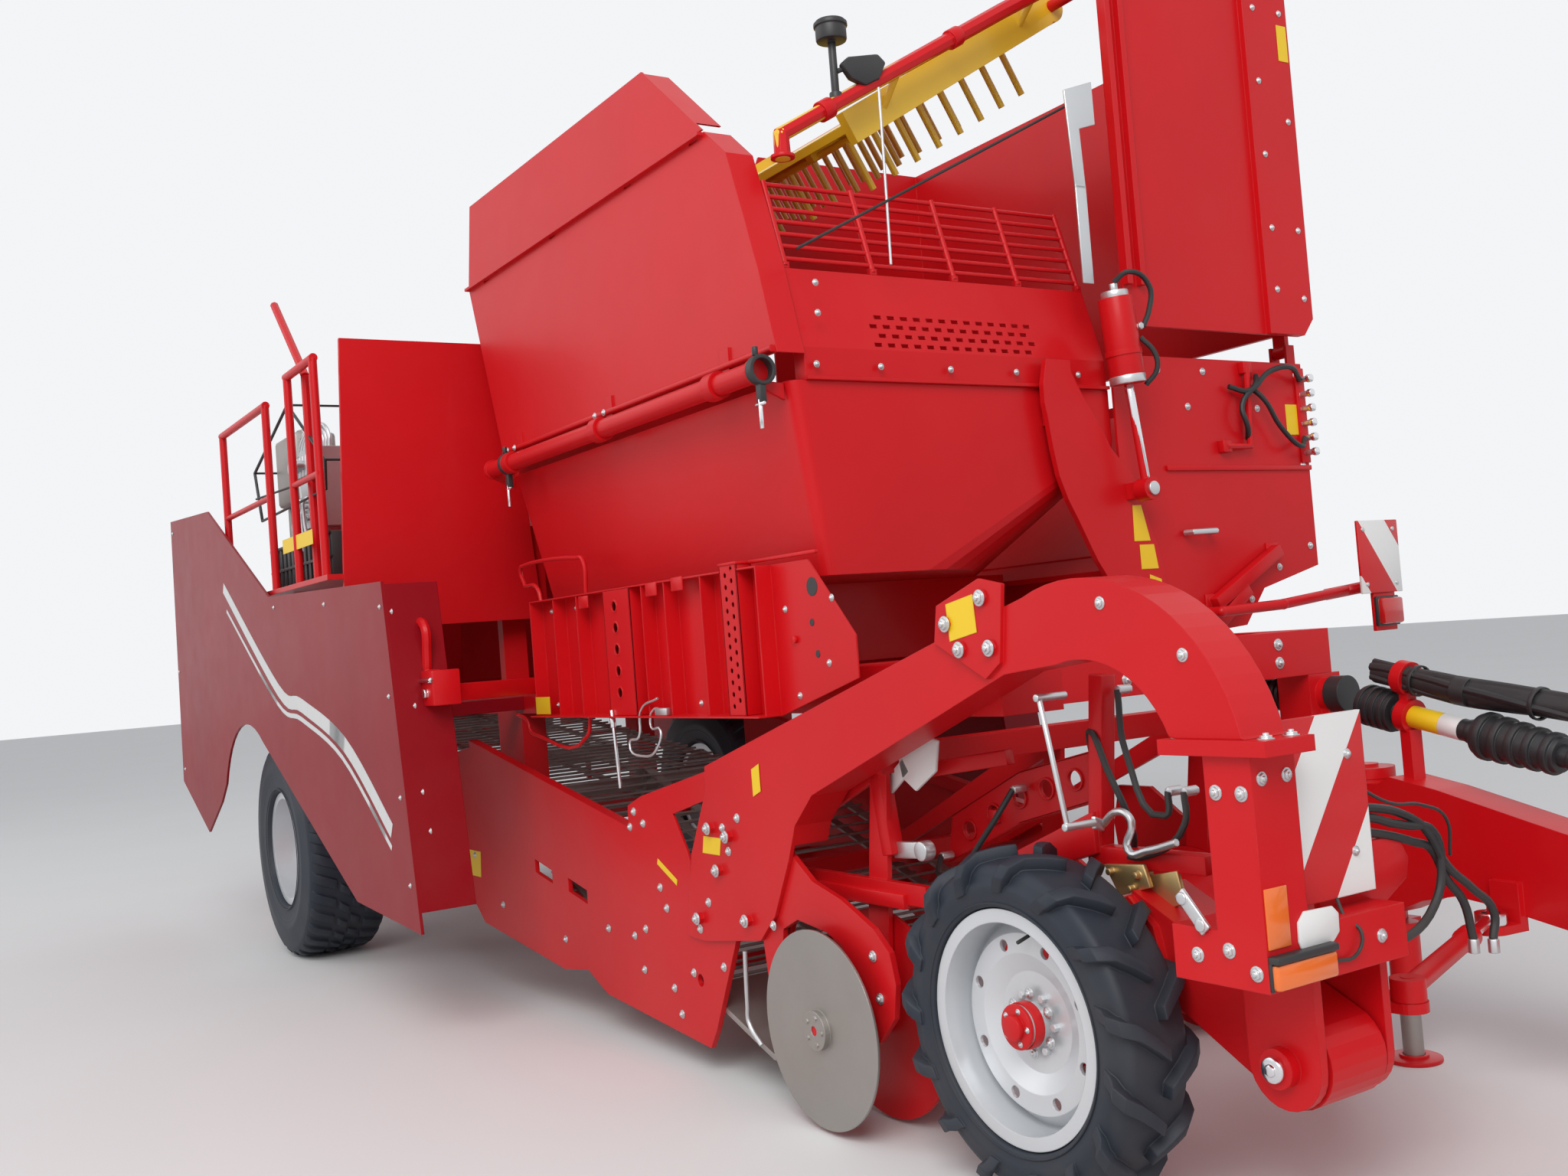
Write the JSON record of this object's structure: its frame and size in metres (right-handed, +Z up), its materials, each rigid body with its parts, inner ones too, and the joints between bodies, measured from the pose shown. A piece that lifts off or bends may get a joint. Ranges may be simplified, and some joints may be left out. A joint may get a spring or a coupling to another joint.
{
  "type": "potato harvester",
  "caption": "Trailed potato harvester with a side intake, a bunker with a fold-over discharge, steered rear wheels, a front wheel and a swinging tow beam.",
  "frame": {"origin": "on the ground under the middle of the machine's length and width", "axes": "+X forward towards the tow eye, +Y to the machine's left, +Z up"},
  "size_m": [10.1999, 3.3, 3.97],
  "materials": {
    "red_paint": "glossy paint",
    "yellow_paint": "glossy paint",
    "white_paint": "satin paint",
    "rim_paint": "silver paint",
    "steel": "worn steel",
    "chrome": "hard chrome",
    "rubber": "matt black",
    "tyre": "matt black",
    "black_plastic": "matt black"
  },
  "bodies": {
    "chassis": {"main_frame": "red_paint", "rear_axle": "red_paint", "front_tower": "red_paint", "arched_beam": "red_paint", "wheel_arm": "red_paint", "pivot_tower": "red_paint", "steering_cylinder": "red_paint", "hopper": "red_paint", "moving_floor": "rubber", "bunker_front_wall": "red_paint", "bunker_rear_wall": "red_paint", "bunker_grille": "red_paint", "hinge_tube": "red_paint", "lower_box": "red_paint", "curved_post": "red_paint", "lift_cylinder": "red_paint", "side_guard": "red_paint", "cover_right": "red_paint", "cover_left": "red_paint", "rear_hood": "red_paint", "platform_right": "red_paint", "platform_left": "red_paint", "valve_block": "steel", "picking_table": "red_paint", "intake_frame": "red_paint", "share": "steel", "intake_web": "steel", "rear_web": "steel", "disc_arms": "red_paint", "roller_frame": "red_paint", "rear_shaft": "black_plastic", "warning_board": "white_paint", "board_arm": "red_paint"},
    "knuckle_right": {"knuckle_right": "red_paint"},
    "knuckle_left": {"knuckle_left": "red_paint"},
    "steering_rod": {"steering_rod": "chrome"},
    "wheel_rear_right": {"tyre_rear_right": "tyre", "rim_rear_right": "rim_paint"},
    "wheel_rear_left": {"tyre_rear_left": "tyre", "rim_rear_left": "rim_paint"},
    "wheel_front": {"tyre_front": "tyre", "rim_front": "rim_paint"},
    "side_wall": {"side_wall": "red_paint"},
    "side_flap": {"side_flap": "red_paint"},
    "discharge_head": {"discharge_head": "red_paint"},
    "discharge_tip": {"discharge_tip": "yellow_paint", "tip_fingers": "yellow_paint"},
    "disc_right": {"disc_right": "steel"},
    "disc_left": {"disc_left": "steel"},
    "ridge_roller_right": {"ridge_roller_right": "red_paint"},
    "ridge_roller_left": {"ridge_roller_left": "red_paint"},
    "tow_beam": {"tow_beam": "red_paint", "shaft_stand": "red_paint", "drive_shaft": "black_plastic", "hose_bundle": "rubber"},
    "swing_barrel": {"swing_barrel": "red_paint"},
    "swing_rod": {"swing_rod": "chrome"},
    "jack_leg": {"jack_leg": "steel"},
    "ladder": {"ladder": "red_paint"}
  },
  "joints": [
    {"name": "steer_left", "type": "hinge", "parent": "chassis", "child": "knuckle_left", "pos_m": [-3.15, 0.96, 0.586], "axis": [0, 0, 1], "range_deg": [-15, 15]},
    {"name": "steer_right", "type": "hinge", "parent": "chassis", "child": "knuckle_right", "pos_m": [-3.15, -0.96, 0.586], "axis": [0, 0, 1], "range_deg": [-15, 15]},
    {"name": "steering_rod", "type": "slide", "parent": "chassis", "child": "steering_rod", "axis": [0, 1, 0], "range_m": [-0.05, 0.05]},
    {"name": "wheel_rear_right", "type": "hinge", "parent": "knuckle_right", "child": "wheel_rear_right", "pos_m": [-3.15, -1.3, 0.586], "axis": [0, 1, 0], "continuous": true},
    {"name": "wheel_rear_left", "type": "hinge", "parent": "knuckle_left", "child": "wheel_rear_left", "pos_m": [-3.15, 1.3, 0.586], "axis": [0, 1, 0], "continuous": true},
    {"name": "wheel_front", "type": "hinge", "parent": "chassis", "child": "wheel_front", "pos_m": [2.21, -0.9, 0.46], "axis": [0, 1, 0], "continuous": true},
    {"name": "side_wall", "type": "hinge", "parent": "chassis", "child": "side_wall", "pos_m": [0, -0.957, 2.37], "axis": [1, 0, 0], "range_deg": [0, 100]},
    {"name": "side_flap", "type": "hinge", "parent": "side_wall", "child": "side_flap", "pos_m": [0, -0.895, 3.26], "axis": [1, 0, 0], "range_deg": [-90, 0]},
    {"name": "discharge_head", "type": "hinge", "parent": "chassis", "child": "discharge_head", "pos_m": [0, 1.625, 2.53], "axis": [1, 0, 0], "range_deg": [-90, 0]},
    {"name": "discharge_tip", "type": "hinge", "parent": "discharge_head", "child": "discharge_tip", "pos_m": [0, 0.64, 3.9], "axis": [1, 0, 0], "range_deg": [-122, 0]},
    {"name": "disc_right", "type": "hinge", "parent": "chassis", "child": "disc_right", "pos_m": [1.36, -1.034, 0.315], "axis": [0, 1, 0], "continuous": true},
    {"name": "disc_left", "type": "hinge", "parent": "chassis", "child": "disc_left", "pos_m": [1.36, 0.706, 0.315], "axis": [0, 1, 0], "continuous": true},
    {"name": "ridge_roller_right", "type": "hinge", "parent": "chassis", "child": "ridge_roller_right", "pos_m": [1.4, -0.495, 0.33], "axis": [0, 1, 0], "continuous": true},
    {"name": "ridge_roller_left", "type": "hinge", "parent": "chassis", "child": "ridge_roller_left", "pos_m": [1.4, 0.245, 0.33], "axis": [0, 1, 0], "continuous": true},
    {"name": "tow_beam", "type": "hinge", "parent": "chassis", "child": "tow_beam", "pos_m": [2.06, 0.72, 0.67], "axis": [0, 0, 1], "range_deg": [-6, 12]},
    {"name": "swing_barrel", "type": "hinge", "parent": "chassis", "child": "swing_barrel", "pos_m": [2.905, -0.33, 0.543], "axis": [0, 0, 1], "range_deg": [-6, 4]},
    {"name": "swing_rod", "type": "slide", "parent": "swing_barrel", "child": "swing_rod", "axis": [-0.3442, 0.9389, 0], "range_m": [-0.06, 0.11]},
    {"name": "jack_leg", "type": "slide", "parent": "chassis", "child": "jack_leg", "axis": [0, 0, 1], "range_m": [0, 0.14]},
    {"name": "ladder", "type": "hinge", "parent": "chassis", "child": "ladder", "pos_m": [-4.64, 1.2, 1.895], "axis": [0, 1, 0], "range_deg": [0, 100]}
  ],
  "couplings": [
    {"joint": "steer_right", "follows": "steer_left", "ratio": 1},
    {"joint": "steering_rod", "follows": "steer_left", "m_per_rad": -0.18},
    {"joint": "swing_barrel", "follows": "tow_beam", "ratio": -0.405},
    {"joint": "swing_rod", "follows": "tow_beam", "m_per_rad": 0.455}
  ]
}
